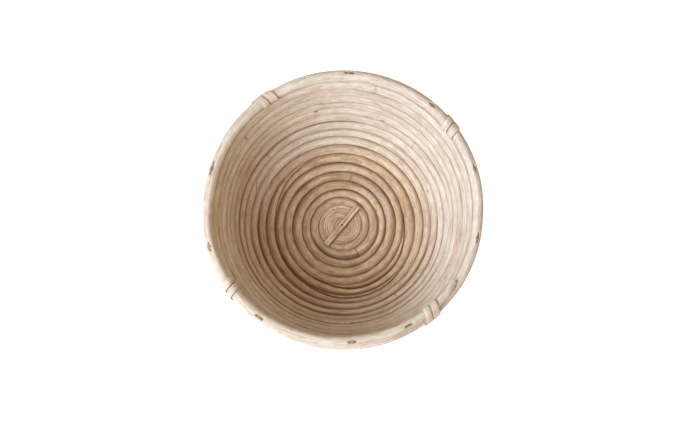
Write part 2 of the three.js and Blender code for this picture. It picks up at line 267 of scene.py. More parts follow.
def mix_colour(tree, share, first, second, way="MIX"):
    node = make_node(tree, "Mix", {"data_type": "RGBA", "blend_type": way})
    # The node has sockets for several kinds of data. Inputs 6 and 7 and output 2 are for colours.
    fill(tree, node.inputs[0], share)
    fill(tree, node.inputs[6], first)
    fill(tree, node.inputs[7], second)
    return node.outputs[2]


def math_node(tree, operation, first, second):
    node = make_node(tree, "Math", {"operation": operation})
    fill(tree, node.inputs[0], first)
    fill(tree, node.inputs[1], second)
    return node.outputs[0]


def between(tree, value, low, high, to_low=0.0, to_high=1.0):
    limits = {"From_Min": low, "From_Max": high, "To_Min": to_low, "To_Max": to_high}
    return make_node(tree, "MapRange", Value=value, **limits).outputs[0]


def new_finish(name):
    material = bpy.data.materials.new(name)
    material.use_nodes = True
    tree = material.node_tree
    return material, tree, tree.nodes["Principled BSDF"]


print("material helpers ready")

# %% [markdown]
# The bowl stands on a plain white floor under soft studio light. A wide lamp from the front left leaves the
# near left of the hollow in soft shade, as in the photograph. A weak warm lamp stands low on the right, and a
# weak warm sky fills the rest. The floor glows a little, like a lit table, and more to the camera, so the
# background is white and the bowl's faint shadow still lies on it.

# %% Floor, sky and lamps
FLOOR_SIZE = 6
FLOOR_SINK = 0.2 * MM
FLOOR_GREY = paint(236, 236, 236)
FLOOR_GLOW = 0.3
FLOOR_GLOW_SEEN = 0.82
SKY_STRENGTH = 0.41
SKY_COLOUR = (1.0, 0.83, 0.64, 1)
LAMP_HEADING = math.radians(215)
LAMP_ELEVATION = math.radians(42)
LAMP_DISTANCE = 1.25
LAMP_SIZE = 0.75
LAMP_POWER = 18.6
LAMP_COLOUR = (0.86, 1.0, 1.19)
FILL_HEADING = math.radians(335)
FILL_ELEVATION = math.radians(19)
FILL_POWER = 1.8
FILL_COLOUR = (1.0, 0.84, 0.66)


def seen_by_eye(tree):
    path = make_node(tree, "LightPath")
    seen = math_node(tree, "MAXIMUM", path.outputs["Is Camera Ray"], path.outputs["Is Glossy Ray"])
    return math_node(tree, "MAXIMUM", seen, path.outputs["Is Transmission Ray"])


floor_mesh = bmesh.new()
bmesh.ops.create_grid(floor_mesh, x_segments=1, y_segments=1, size=FLOOR_SIZE / 2)
bmesh.ops.translate(floor_mesh, verts=floor_mesh.verts, vec=(0, 0, -FLOOR_SINK))
floor = bpy.data.objects.new("studio_floor", bpy.data.meshes.new("studio_floor"))
floor_mesh.to_mesh(floor.data)
floor_mesh.free()
scene.collection.objects.link(floor)

floor_finish, tree, shader = new_finish("studio_white")
shader.inputs["Base Color"].default_value = FLOOR_GREY
shader.inputs["Roughness"].default_value = 0.9
shader.inputs["Emission Color"].default_value = WHITE
glow = between(tree, seen_by_eye(tree), 0, 1, FLOOR_GLOW, FLOOR_GLOW_SEEN)
fill(tree, shader.inputs["Emission Strength"], glow)
floor.data.materials.append(floor_finish)

world = bpy.data.worlds.new("studio_sky")
scene.world = world
world.use_nodes = True
tree = world.node_tree
sky = tree.nodes["Background"]
seen = seen_by_eye(tree)
fill(tree, sky.inputs["Color"], mix_colour(tree, seen, SKY_COLOUR, WHITE))
fill(tree, sky.inputs["Strength"], between(tree, seen, 0, 1, SKY_STRENGTH, 1.0))


def soft_lamp(name, heading, elevation, power, colour):
    lamp = bpy.data.objects.new(name, bpy.data.lights.new(name, "AREA"))
    lamp.data.size = LAMP_SIZE
    lamp.data.energy = power
    lamp.data.color = colour
    level = Vector((math.cos(heading), math.sin(heading), 0))
    toward_lamp = level * math.cos(elevation) + Vector((0, 0, math.sin(elevation)))
    lamp.location = toward_lamp * LAMP_DISTANCE
    lamp.rotation_euler = toward_lamp.to_track_quat("Z", "Y").to_euler()
    scene.collection.objects.link(lamp)


soft_lamp("lamp", LAMP_HEADING, LAMP_ELEVATION, LAMP_POWER, LAMP_COLOUR)
soft_lamp("fill_lamp", FILL_HEADING, FILL_ELEVATION, FILL_POWER, FILL_COLOUR)
print("floor, sky and lamps ready")

# %% [markdown]
# Rattan is a bundle of long fibres, so every mark on it is stretched along the cane. Each new piece of rattan
# therefore carries two sets of numbers on its points. "fibre" is the place in the straightened cane: metres
# along it, then sideways and up. Noise read at that place, squeezed along and fine across, gives strands that
# follow every bend. "marks" says three things. The first is how much painted shade the point has, in a
# groove, at the edge of a strip, on the outer side of the rim or in the stick's shadow. The second is how
# stained it is. The third is how dark a split or a hole is there; painted shade also uses it to darken the
# gap at the end of the centre strip and the ends of a binding. A third number, "tone", runs from 0 on the
# brown floor to 1 on the pale rim.

# %% Finish of rattan
# The first brown colours flecks and also the painted shade in the grooves of the floor. The second is the
# painted shade in the grooves of the wall.
FLECK_AND_SHADE_BROWN = paint(118, 80, 50)
WALL_GROOVE_SHADE = paint(140, 100, 68)
STAIN_BROWN = paint(92, 60, 47)
SPLIT_BROWN = paint(76, 51, 33)
STRAND_BROWN = paint(192, 170, 146)
FLOOR_PALE, FLOOR_DEEP = paint(227, 202, 169), paint(179, 148, 116)
RIM_PALE, RIM_DEEP = paint(242, 235, 223), paint(214, 201, 182)
PINK_CAST, YELLOW_CAST = paint(255, 248, 245), paint(255, 252, 246)
STRAND_SHARE = 0.5
STRAND_DEPTH = 0.1 * MM
STRAND_ROUGHNESS = (0.7, 0.54)
FLECK_SHARE = 0.35
SHEEN = 0.3


def stretched_noise(tree, place, along, across, detail=3.0, roughness=0.55):
    squeezed = make_node(tree, "Mapping", Vector=place, Scale=(along, across, across)).outputs[0]
    pattern = {"Scale": 1.0, "Detail": detail, "Roughness": roughness}
    return make_node(tree, "TexNoise", Vector=squeezed, **pattern).outputs[0]


def bare_colour(tree, place, tone, strands, bands):
    clouds = stretched_noise(tree, place, along=60, across=160, detail=4.0, roughness=0.65)
    mottle = stretched_noise(tree, place, along=150, across=420, detail=4.0, roughness=0.65)
    cast = stretched_noise(tree, place, along=7, across=70, detail=2.0)
    flecks = stretched_noise(tree, place, along=150, across=800, detail=2.0)
    pale = mix_colour(tree, tone, FLOOR_PALE, RIM_PALE)
    deep = mix_colour(tree, tone, FLOOR_DEEP, RIM_DEEP)
    shade = mix_colour(tree, 0.5, mix_colour(tree, 0.5, bands, clouds), mottle)
    colour = mix_colour(tree, between(tree, shade, 0.4, 0.6), deep, pale)
    casts = mix_colour(tree, between(tree, cast, 0.4, 0.6), PINK_CAST, YELLOW_CAST)
    colour = mix_colour(tree, 1.0, colour, casts, "MULTIPLY")
    lines = mix_colour(tree, between(tree, strands, 0.3, 0.6), STRAND_BROWN, WHITE)
    colour = mix_colour(tree, STRAND_SHARE, colour, lines, "MULTIPLY")
    return mix_colour(tree, between(tree, flecks, 0.68, 0.8, 0.0, FLECK_SHARE), colour, FLECK_AND_SHADE_BROWN)


def rattan_finish(name):
    material, tree, shader = new_finish(name)
    place = make_node(tree, "Attribute", {"attribute_name": "fibre"}).outputs["Vector"]
    tone = make_node(tree, "Attribute", {"attribute_name": "tone"}).outputs["Fac"]
    marks = make_node(tree, "Attribute", {"attribute_name": "marks"}).outputs["Vector"]
    marks = make_node(tree, "SeparateXYZ", Vector=marks).outputs
    strands = stretched_noise(tree, place, along=38, across=1100)
    bands = stretched_noise(tree, place, along=14, across=170)
    colour = bare_colour(tree, place, tone, strands, bands)
    stain = math_node(tree, "MULTIPLY", marks["Y"], between(tree, bands, 0.3, 0.6, 0.6, 1.0))
    colour = mix_colour(tree, stain, colour, STAIN_BROWN)
    # Painted shade: the first mark turns the colour towards a shade brown, darker on the floor and lighter on
    # the wall.
    groove_shade_colour = mix_colour(tree, tone, FLECK_AND_SHADE_BROWN, WALL_GROOVE_SHADE)
    colour = mix_colour(tree, marks["X"], colour, groove_shade_colour)
    colour = mix_colour(tree, marks["Z"], colour, SPLIT_BROWN)
    fill(tree, shader.inputs["Base Color"], colour)
    fill(tree, shader.inputs["Roughness"], between(tree, strands, 0.3, 0.7, *STRAND_ROUGHNESS))
    shader.inputs["Specular IOR Level"].default_value = SHEEN
    bump = make_node(tree, "Bump", Strength=0.6, Distance=STRAND_DEPTH, Height=strands)
    fill(tree, shader.inputs["Normal"], bump.outputs[0])
    return material


rattan = rattan_finish("rattan")
print("finish:", rattan.name)

# %% [markdown]
# A wound piece is a tube that follows the spiral. It could be a curve with a bevel, but then its section
# could not change along the way. Here a flat grid is rolled up instead: one direction of the grid runs along
# the cane, the other round it. Every point is moved to its place on the tube, the two long edges are welded,
# and the ends are closed. Several tubes can go into one piece.

# %% Roll a grid into a tube
WELD = 1e-7
SHARP_ANGLE = math.radians(50)


class Point:
    def __init__(self, place, fibre, groove, stain, dark, tone):
        self.place = place
        self.fibre = fibre
        # The first mark is painted shade. The second is a stain. The third is the dark of a split or a hole,
        # or painted shade in a gap.
        self.marks = Vector((groove, stain, dark))
        self.tone = tone


def new_layers(shape):
    layers = shape.verts.layers
    return layers.float_vector.new("fibre"), layers.float_vector.new("marks"), layers.float.new("tone")


def rolled_tube(rings):
    sides = len(rings[0])
    tube = bmesh.new()
    fibre, marks, tone = new_layers(tube)
    bmesh.ops.create_grid(tube, x_segments=len(rings) - 1, y_segments=sides, size=0.5)
    for vert in tube.verts:
        ring = rings[round((vert.co.x + 0.5) * (len(rings) - 1))]
        point = ring[round((vert.co.y + 0.5) * sides) % sides]
        vert.co = point.place
        vert[fibre] = point.fibre
        vert[marks] = point.marks
        vert[tone] = point.tone
    bmesh.ops.remove_doubles(tube, verts=tube.verts, dist=WELD)
    bmesh.ops.holes_fill(tube, edges=[edge for edge in tube.edges if edge.is_boundary], sides=0)
    bmesh.ops.recalc_face_normals(tube, faces=tube.faces)
    return tube


def joined(shapes):
    whole = shapes[0]
    for shape in shapes[1:]:
        part = bpy.data.meshes.new("part")
        shape.to_mesh(part)
        shape.free()
        whole.from_mesh(part)
        bpy.data.meshes.remove(part)
    return whole


def keep_piece(shape, name, finish, slot, *nodes):
    mesh = bpy.data.meshes.new(name)
    shape.to_mesh(mesh)
    shape.free()
    mesh.shade_smooth()
    mesh.set_sharp_from_angle(angle=SHARP_ANGLE)
    mesh.materials.append(finish)
    piece = bpy.data.objects.new(name, mesh)
    scene.collection.objects.link(piece)
    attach(piece, "root")
    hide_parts(*nodes)
    print(name, "has", len(mesh.vertices), "points")


print("tube helpers ready")

# %% [markdown]
# The section of the cane is round on the rim. Below it the turns are pressed on each other, so the section
# has a straight part on both sides and an arched top, like a pillow, and the grooves are shallow and soft.
# The wall is pressed flatter than the floor, most of all high up, and more on the right than on the left.

# %% Pressed section of the cane
FLAT_FLOOR = 0.36
FLAT_WALL_LEFT = 0.48
FLAT_WALL_RIGHT = 0.66
FLAT_HIGH_EXTRA = 0.16
FLAT_UNEVEN = 0.14
FLAT_RIM = 0.08
SIDE_STEEPNESS = 4
LEFT_HEADING = math.radians(215)
HIGH_WALL_TURNS = (9.5, 11)


def rounded(angle, flat):
    side, up = math.cos(angle), math.sin(angle)
    return side, (1 - flat) * up + flat * min(max(SIDE_STEEPNESS * up, -1), 1)


def turned_to(heading, turn):
    return (1 + math.cos(turn * 2 * math.pi - heading)) / 2


def left_share(turn):
    return turned_to(LEFT_HEADING, turn)


def pressed_flat(turn):
    wall = mix(FLAT_WALL_RIGHT, FLAT_WALL_LEFT, left_share(turn))
    wall += FLAT_HIGH_EXTRA * smooth(*HIGH_WALL_TURNS, turn)
    wall += FLAT_UNEVEN * noise_at(turn * 2.9, 1, 7)
    return mix(mix(FLAT_FLOOR, wall, smooth(5, 10, turn)), FLAT_RIM, smooth(14.6, 15, turn))


print("pressed flat at turns 0, 10 and 15:", [round(pressed_flat(turn), 2) for turn in (0, 10, 15)])

# %% [markdown]
# A growth ring here and there makes the cane a little fatter. The rim is fatter too, in steps listed with
# their first and last turn, and its free end is pared down to a tongue. A Section puts all this together for
# one turn. Where two lengths of cane lie side by side, low and high say which share of the turn it fills.

# %% Section of the thick cane
GROWTH_RINGS = [0.62, 1.12, 2.222, 3.172, 5.4, 6.85, 8.386, 9.13, 10.6, 11.9, 13.4, 14.21]
RING_SWELL = 0.03
RING_WIDTH = 0.9 * MM
RIM_SWELLS = [(14.9, 15.2, 0.1), (15.5, 15.7, 0.1), (15.77, 15.85, -0.1)]
TONGUE_TURNS = 0.16
TONGUE_SHARE = 4.4 / 7.5
TIP_TURNS = 0.012
TIP_SHARE = 0.45
START_TURNS = 0.02
START_HEIGHT = 0.85


def ring_mark(turn):
    nearest = min(GROWTH_RINGS, key=lambda ring: abs(ring - turn))
    distance = abs(nearest - turn) / turns_per_metre(turn)
    return math.exp(-((distance / RING_WIDTH) ** 2))


def rises(steps, turn):
    return sum(size * smooth(start, end, turn) for start, end, size in steps)


def cane_growth(turn):
    to_end = COIL_END_TURN - turn
    tongue = mix(TONGUE_SHARE, 1, to_end / TONGUE_TURNS)
    tip = mix(TIP_SHARE, 1, to_end / TIP_TURNS) ** 0.5
    return tongue * tip * (1 + rises(RIM_SWELLS, turn))


class Section:
    def __init__(self, turn, low=0.0, high=1.0):
        cut = Slice(turn)
        growth = cane_growth(turn)
        self.ring = ring_mark(turn)
        start = cut.along * cut.width * (low - 0.5)
        end = cut.along * cut.width * (low + (high - low) * growth - 0.5)
        self.middle = cut.middle + (start + end) / 2
        self.half_along = (end - start) / 2
        start_height = mix(START_HEIGHT, 1, (turn - COIL_START_TURN) / START_TURNS)
        height = cut.height * growth * start_height * (1 + RING_SWELL * self.ring)
        self.half_across = cut.across * height / 2
        self.flat = pressed_flat(turn)

    def point(self, angle):
        side, up = rounded(angle, self.flat)
        return self.middle + self.half_along * side + self.half_across * up


print("growth rings:", len(GROWTH_RINGS))

# %% [markdown]
# Knots and bruises are small dark spots that noise makes ragged. Each is listed with its turn, its place
# across the cane from -1 at the inner groove to 1 at the outer one, its length in millimetres and its
# strength.

# %% Bruises and knots
BRUISES = [
    (0.508, 0.3, 3, 0.35), (1.711, 0.3, 2.5, 0.4), (3.016, 0.9, 3, 0.4), (4.606, 0.5, 8, 0.75),
    (4.675, 0.85, 6, 0.6), (4.984, -0.1, 7, 0.3), (5.638, 0.3, 9, 0.75), (6.64, 0.7, 7, 0.55),
    (7.057, -0.1, 5, 0.6), (8.764, 0.6, 4, 0.7), (10.189, -0.55, 6, 1.0), (10.291, 0.8, 5, 0.85),
    (11.464, 0.95, 8, 0.6), (12.283, -0.7, 5, 0.6), (13.003, 0.8, 3.5, 0.35), (13.057, 0.8, 3.5, 0.4),
    (13.588, 0.7, 11, 0.7), (14.617, 0.5, 6, 1.0), (14.896, 0.75, 5, 1.0),
]
BRUISE_WIDTH = 2.0 * MM
BRUISE_REACH_TURNS = 0.03


def bruise(turn, side):
    dark = 0.0
    for place, middle, length, strength in BRUISES:
        if abs(turn - place) < BRUISE_REACH_TURNS:
            along = (turn - place) / turns_per_metre(turn) / (length * MM / 2)
            across = (side - middle) * CANE_DIAMETER / BRUISE_WIDTH
            ragged = 0.75 + 0.9 * noise_at(along * 2.2, across * 2.2, place * 7)
            spot = smooth(0, 0.9, 1 - along * along - across * across)
            dark = max(dark, strength * min(ragged, 1) * spot)
    return dark


print("bruises and knots:", len(BRUISES))

# %% [markdown]
# On the floor every turn is pale on its inner side and gets brown towards the groove on its outer side. This
# brown is painted shade. Its band is broader at the left, where the lamp leaves the hollow in shade, than at
# the right. On the wall only the grooves get this painted shade, stronger at the left. Noise makes some
# darker than others, and the stretches that stand out in the photograph are listed with their first and last
# turn and with how much darker they are, or fainter where that number is below 0. Two turns of cane meet in a
# groove, and both read its strength at the same place, so their browns match.

# %% Painted shade in the grooves
GROOVE_SHADE_STRETCHES = [
    (4.38, 4.92, 0.7), (6.42, 6.8, 0.6), (6.78, 7.02, 0.7), (7.22, 7.44, 0.8), (7.6, 8.05, 1.1),
    (8.14, 8.38, -0.6), (8.74, 9.05, 1.0), (9.18, 9.98, 1.7), (10.5, 10.84, 0.9), (10.84, 11.1, 1.0),
    (12.22, 12.6, 0.7), (13.8, 14.05, -0.5),
]
STRETCH_FADE = 0.1
FLOOR_TO_WALL_TURNS = (3, 10)
GROOVE_SHADE_ON_FLOOR = 0.67
GROOVE_SHADE_ON_RIGHT_WALL = 0.38
GROOVE_SHADE_ON_LEFT_WALL = 0.5
DARKEST_GROOVE_SHADE = 0.9


def groove_shade_strength(place):
    wall = smooth(*FLOOR_TO_WALL_TURNS, place)
    slow = noise_at(place * 4.3, 3, 1)
    quick = noise_at(place * 17, 6, 4)
    uneven = max(1 + mix(0.5, 1.6, wall) * slow + mix(0.3, 0.8, wall) * quick, 0.1)
    for start, end, extra in GROOVE_SHADE_STRETCHES:
        fade_in = smooth(start, start + STRETCH_FADE, place)
        uneven += extra * fade_in * (1 - smooth(end - STRETCH_FADE, end, place))
    upper = (1 - 0.45 * smooth(10.2, 11.2, place)) * (1 - 0.75 * smooth(14.5, 15.3, place))
    on_wall = mix(GROOVE_SHADE_ON_RIGHT_WALL, GROOVE_SHADE_ON_LEFT_WALL, left_share(place))
    return mix(GROOVE_SHADE_ON_FLOOR, on_wall, wall) * uneven * upper


# Painted shade: brown towards the grooves of a turn, over a broader band where the hollow lies in shade.
def painted_groove_shade(side, turn):
    wall = smooth(*FLOOR_TO_WALL_TURNS, turn)
    wide = 0.3 * noise_at(turn * 6.1, 9, 2)
    strength = groove_shade_strength(turn + 1 if side > 0 else turn)
    ramp_start = mix(mix(0, -0.6, left_share(turn)), 0.45, wall) + wide
    outer = smooth(ramp_start, mix(0.85, 1, wall), side) ** 1.3
    inner = 0.75 * smooth(0.65 + wide, 1, -side)
    return min(max(strength * (outer + inner), 0), DARKEST_GROOVE_SHADE)


print("stretches of darker or fainter groove:", len(GROOVE_SHADE_STRETCHES))

# %% [markdown]
# The tone goes up from the brown floor to the pale rim, in steps listed with their first and last turn. The
# upper wall is browner at the left, as painted shade, and paler at the right, as painted light. Noise varies
# the tone along the cane, and a few stretches are paler, listed with their middle, their reach and how much.
# The outer side of the rim gets painted shade at the near side. The last function sets one ring of points
# round the cane with all its marks.

# %% Tone and rings of points
CANE_SIDES = 32
LUMP = 0.18 * MM
TONE_STEPS = [(3.2, 8.0, 0.76), (9, 13, 0.08), (14, 15, 0.16)]
PALE_STRETCHES = [(-0.13, 0.04, 0.16), (1.115, 0.018, 0.4), (2.1, 0.115, 0.2)]
# Painted shade browns the upper wall at the left, and painted light pales it at the right. Painted shade also
# darkens the outer side of the rim at the near side.
SHADE_SIDE_BROWNER = 0.15
LIT_SIDE_PALER = 0.15
ONTO_RIM_TURNS = (14, 15)
RIM_OUTER_SHADE = 0.22
RIM_SHADE_HEADING = math.radians(252)


def cane_tone(turn):
    height = rises(TONE_STEPS, turn)
    # Painted shade at the left and painted light at the right of the upper wall.
    height -= SHADE_SIDE_BROWNER * left_share(turn) * smooth(8, 11, turn)
    height += LIT_SIDE_PALER * (1 - left_share(turn)) ** 2 * smooth(9, 11, turn)
    for place, reach, extra in PALE_STRETCHES:
        height += extra * smooth(1.2 * reach, 0.7 * reach, abs(turn - place))
    own = 0.42 * smooth(2, 6, turn) * (1 - smooth(*ONTO_RIM_TURNS, turn)) + 0.12
    return min(max(height + own * noise_at(turn * 1.63, 8, 2), 0), 1)


def cane_ring(turn, travelled, low, high, extra):
    section = Section(turn, low, high)
    outward = section.half_across.normalized()
    tone = cane_tone(turn)
    # Painted shade on the outer side of the rim at the near side.
    rim_shade = RIM_OUTER_SHADE * turned_to(RIM_SHADE_HEADING, turn) * smooth(*ONTO_RIM_TURNS, turn)
    ring = []
    for corner in range(CANE_SIDES):
        angle = 2 * math.pi * corner / CANE_SIDES
        side, up = rounded(angle, section.flat)
        lump = LUMP * noise_at(travelled * 22, side * 1.3 + turn * 3.1, up * 1.3)
        place = in_room(section.point(angle) + outward * lump, turn)
        fibre = Vector((travelled, section.half_along.length * side, section.half_across.length * up))
        line = section.ring * max(0, noise_at(side * 2, up * 2, turn * 9) + 0.25)
        dark = max(0.8 * line, bruise(turn, side) if up > 0 else 0)
        # Painted shade from the grooves and from the outer side of the rim.
        shade_mark = max(painted_groove_shade(side, turn), rim_shade * smooth(0.7, -0.3, up))
        point = Point(place, fibre, shade_mark, 0, dark, tone)
        if extra:
            extra(point, turn, side, up)
        ring.append(point)
    return ring


print("rings with", CANE_SIDES, "points")

# %% [markdown]
# The thick cane comes in five lengths. Where one runs out it is pared to a slanted tip and the next one
# starts beside it, so over a short stretch the two share the width of one turn. Low on the near side, two
# thin pointed slivers of cane fill the room beside the main one. Rings of points are set at even steps,
# closer together where something small happens, and each length of cane becomes one tube.

# %% Rings along the winding
RING_STEP = 1 / 150
CLOSE_STEP = 0.45 * MM
CLOSE_REACH = 2.7 * MM
THIN_EDGE = 0.05
SPLICES = [(4.314, 4.472), (7.428, 7.446), (11.282, 11.304), (12.884, 12.906)]
SLIVERS = [(3.675, 4.03, 0.42), (4.665, 4.93, 0.34)]
SLIVER_POINT = 0.02
GRAIN_SHIFT = 10


def ring_turns(start, end, close_places):
    count = math.ceil((end - start) / RING_STEP)
    turns = {start + (end - start) * step / count for step in range(count + 1)}
    steps = round(CLOSE_REACH / CLOSE_STEP)
    for place in close_places:
        scale = turns_per_metre(place)
        turns.update(place + step * CLOSE_STEP * scale for step in range(-steps, steps + 1))
    kept = [start]
    for turn in sorted(turns):
        if start < turn < end and (turn - kept[-1]) / turns_per_metre(turn) > CLOSE_STEP / 4:
            kept.append(turn)
    return kept + [end]


def sliver_share(turn):
    for start, end, widest in SLIVERS:
        if start < turn < end:
            place = (turn - start) / (end - start)
            return widest * smooth(0, 0.35, place) * (1 - smooth(0.6, 1, place))
    return 0.0


def wound_run(turns, share, extra=None):
    rings = []
    # Each run starts at a place of its own in the noise, so that the grain isn't the same twice.
    travelled = GRAIN_SHIFT * turns[0]
    before = None
    for turn in turns:
        low, high = share(turn)
        middle = in_room(Slice(turn).middle, turn)
        travelled += (middle - before).length if before else 0
        before = middle
        rings.append(cane_ring(turn, travelled, low, high, extra))
    return rolled_tube(rings)


def wound_cane(start_splice, end_splice, extra=None, close_places=()):
    start = start_splice[0] if start_splice else COIL_START_TURN
    end = end_splice[1] if end_splice else COIL_END_TURN

    def share(turn):
        low, high = sliver_share(turn), 1.0
        if start_splice:
            low = max(low, mix(1 - THIN_EDGE, 0, (turn - start) / (start_splice[1] - start)))
        if end_splice:
            high = mix(1, THIN_EDGE, (turn - end_splice[0]) / (end - end_splice[0]))
        return low, high

    bruised = [place for place, middle, length, strength in BRUISES]
    close = [turn for turn in GROWTH_RINGS + bruised if start < turn < end]
    return wound_run(ring_turns(start, end, [*close, *close_places]), share, extra)


def sliver(start, end):
    return wound_run(ring_turns(start, end, []), lambda turn: (0, max(sliver_share(turn), SLIVER_POINT)))


print("splices at", [round(start % 1 * 360) for start, end in SPLICES], "degrees")

# %% [markdown]
# The four lengths below the rim are tubes with nothing else on them. The slivers belong to the lengths whose
# room they share.

# %% Lengths of cane below the rim
on_floor = joined([wound_cane(None, SPLICES[0]), sliver(*SLIVERS[0][:2])])
keep_piece(on_floor, "cane_on_floor", rattan, "inner_cane", "floor_cane")
at_edge = joined([wound_cane(SPLICES[0], SPLICES[1]), sliver(*SLIVERS[1][:2])])
keep_piece(at_edge, "cane_at_floor_edge", rattan, "inner_cane", "floor_edge_cane")
keep_piece(wound_cane(SPLICES[1], SPLICES[2]), "cane_low_on_wall", rattan, "inner_cane", "lower_wall_cane")
keep_piece(wound_cane(SPLICES[2], SPLICES[3]), "cane_high_on_wall", rattan, "inner_cane", "upper_wall_cane")

# %% [markdown]
# The rim is pegged down to the turn below it. Each peg was driven in so hard that the cane split along its
# fibres, so round every peg head there is a dark slit with pointed ends. The slit is made in the cane itself:
# the points of the tube near a peg are pressed in and marked dark. Each entry gives the heading of a peg in
# degrees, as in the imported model, the length of its slit in millimetres, where its middle lies across the
# rim, from -1 on the outside to 1 on the inside, and how many millimetres its head has sunk in.

# %% Rim cane with split peg holes
PEGS = [
    (15.5, 9, 0.0, 0.4), (49, 9, 0.2, 0.4), (88, 12, 0.1, 0.4), (165, 16, 0.0, 1.2), (198.5, 10, 0.0, 0.5),
    (234, 11, 0.1, 0.4), (273, 10, 0.15, 0.4), (297, 10, 0.1, 1.1), (345.5, 11, 0.0, 0.4),
]
SLIT_WIDTH = 2.5 * MM
SLIT_DEPTH = 1.1 * MM
SLIT_DARK = 0.8
CLOSE_SHIFTS = (-0.008, 0, 0.008)


def top_turn(heading):
    turns = heading / 360
    return turns + math.floor(COIL_END_TURN - turns)


def split_for_peg(point, turn, side, up):
    for heading, length, middle, sink in PEGS:
        peg_turn = top_turn(heading)
        distance = (turn - peg_turn) / turns_per_metre(peg_turn)
        if side > 0 and abs(distance) < length * MM:
            along = abs(distance) / (length * MM / 2)
            across = abs(up - middle) * CANE_DIAMETER / SLIT_WIDTH
            inside = smooth(0, 0.5, 1 - along - across * across)
            point.marks.z = max(point.marks.z, SLIT_DARK * inside)
            point.place.z -= SLIT_DEPTH * inside


peg_turns = [top_turn(heading) for heading, length, middle, sink in PEGS]
close_turns = [turn + shift for turn in peg_turns for shift in CLOSE_SHIFTS]
rim_shape = wound_cane(SPLICES[3], None, split_for_peg, close_turns)
keep_piece(rim_shape, "cane_of_rim", rattan, "rim_cane", "rim_cane")

# %% [markdown]
# The pegs are short splints of brown wood. A cone with hardly any taper is the right start: its top edge is
# bevelled, its section is pulled a little along the fibres of the rim, and it is set between the top of the
# rim and the middle of the turn below. The wood's colour comes from fine noise.

# %% Rim pegs
PEG_RADIUS = 1.35 * MM
PEG_TAPER = 0.9
PEG_SIDES = 14
PEG_STRETCH = 1.35
PEG_UNEVEN = 0.2
ONWARD_TURNS = 0.002


def wood_finish(name, pale, deep):
    material, tree, shader = new_finish(name)
    place = make_node(tree, "TexCoord").outputs["Object"]
    grain = make_node(tree, "TexNoise", Vector=place, Scale=900.0, Detail=3.0).outputs[0]
    fill(tree, shader.inputs["Base Color"], mix_colour(tree, between(tree, grain, 0.35, 0.65), deep, pale))
    shader.inputs["Roughness"].default_value = 0.7
    return material


def bevel_edges(shape, edges, offset):
    bmesh.ops.bevel(shape, geom=edges, offset=offset, segments=2, profile=0.5, affect="EDGES", material=-1)


def middle_at(turn):
    return in_room(Section(turn).middle, turn)


def rim_peg(turn, shift, sink):
    section = Section(turn)
    rise = section.half_along * math.cos(math.asin(shift))
    crest = in_room(section.middle + rise + section.half_across * shift, turn)
    foot = middle_at(turn - 1)
    onward = middle_at(turn + ONWARD_TURNS) - middle_at(turn - ONWARD_TURNS)
    upward = (crest - foot).normalized()
    beside = upward.cross(onward).normalized()
    length = (crest - foot).length - sink * MM
    radii = {"radius1": PEG_RADIUS * PEG_TAPER, "radius2": PEG_RADIUS}
    peg = bmesh.new()
    bmesh.ops.create_cone(peg, cap_ends=True, segments=PEG_SIDES, depth=length, **radii)
    bmesh.ops.translate(peg, verts=peg.verts, vec=(0, 0, length / 2))
    top = [edge for edge in peg.edges if all(vert.co.z > length / 2 for vert in edge.verts)]
    bevel_edges(peg, top, PEG_RADIUS / 5)
    for vert in peg.verts:
        ragged = noise.noise(vert.co * 900 + Vector((turn * 40, 0, 0)))
        vert.co.x *= PEG_STRETCH * (1 + PEG_UNEVEN * ragged)
    place = Matrix((beside.cross(upward), beside, upward)).transposed().to_4x4()
    bmesh.ops.transform(peg, matrix=Matrix.Translation(foot) @ place, verts=peg.verts)
    return peg


peg_wood = wood_finish("peg_wood", paint(196, 155, 108), paint(142, 101, 65))
for number, (turn, (heading, length, middle, sink)) in enumerate(zip(peg_turns, PEGS), 1):
    keep_piece(rim_peg(turn, middle, sink), f"peg_head_{number}", peg_wood, "peg_wood", f"rim_peg_{number}")

# %% [markdown]
# The pegs inside the wall can't be seen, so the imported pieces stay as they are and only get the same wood.

# %% Hidden pegs
hidden = [piece for name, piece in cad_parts.items() if name.startswith("turn_peg")]
for piece in hidden:
    piece.data.materials.clear()
    piece.data.materials.append(peg_wood)
print("hidden pegs:", len(hidden))

# %% [markdown]
# At four places, a quarter turn apart, a flat strip of cane is wound round the rim, twice. Each is listed
# with how many turns it binds, its width in millimetres and its lean, which says which way along the rim it
# moves on: 1 is anticlockwise. Three go round the top turn alone, and the last ties the tongue to the turn
# below it. In the slice, the strip follows the outline round what it binds. For any direction, the outline's
# point is the one that reaches furthest that way, so walking the direction round twice walks the strip round
# twice, while it moves on along the rim. Both ends dive into the groove below.

# %% Bindings round the rim
BINDING_FIRST_HEADING = 37.5
BINDINGS = [(1, 7.0, -1), (1, 7.8, -1), (1, 6.0, -1), (2, 6.6, 1)]
BINDING_LOOPS = 2
BINDING_THICKNESS = 1.3 * MM
BINDING_SPACING = 0.3 * MM
BINDING_GAP = 0.1 * MM
BINDING_START = math.radians(215)
BINDING_FLAT = 0.55
BINDING_TONE = 0.85
DIVE_LOOPS = 0.12
DIVE_DEPTH = 1.4
LOOP_STEPS = 40
LOOP_STEP_LENGTH = 0.8 * MM
STRIP_SIDES = 16


def furthest(turn, turns, way):
    angles = [2 * math.pi * step / LOOP_STEPS for step in range(LOOP_STEPS)]
    sections = [Section(turn - below) for below in range(turns)]
    return max((section.point(angle) for section in sections for angle in angles), key=way.dot)


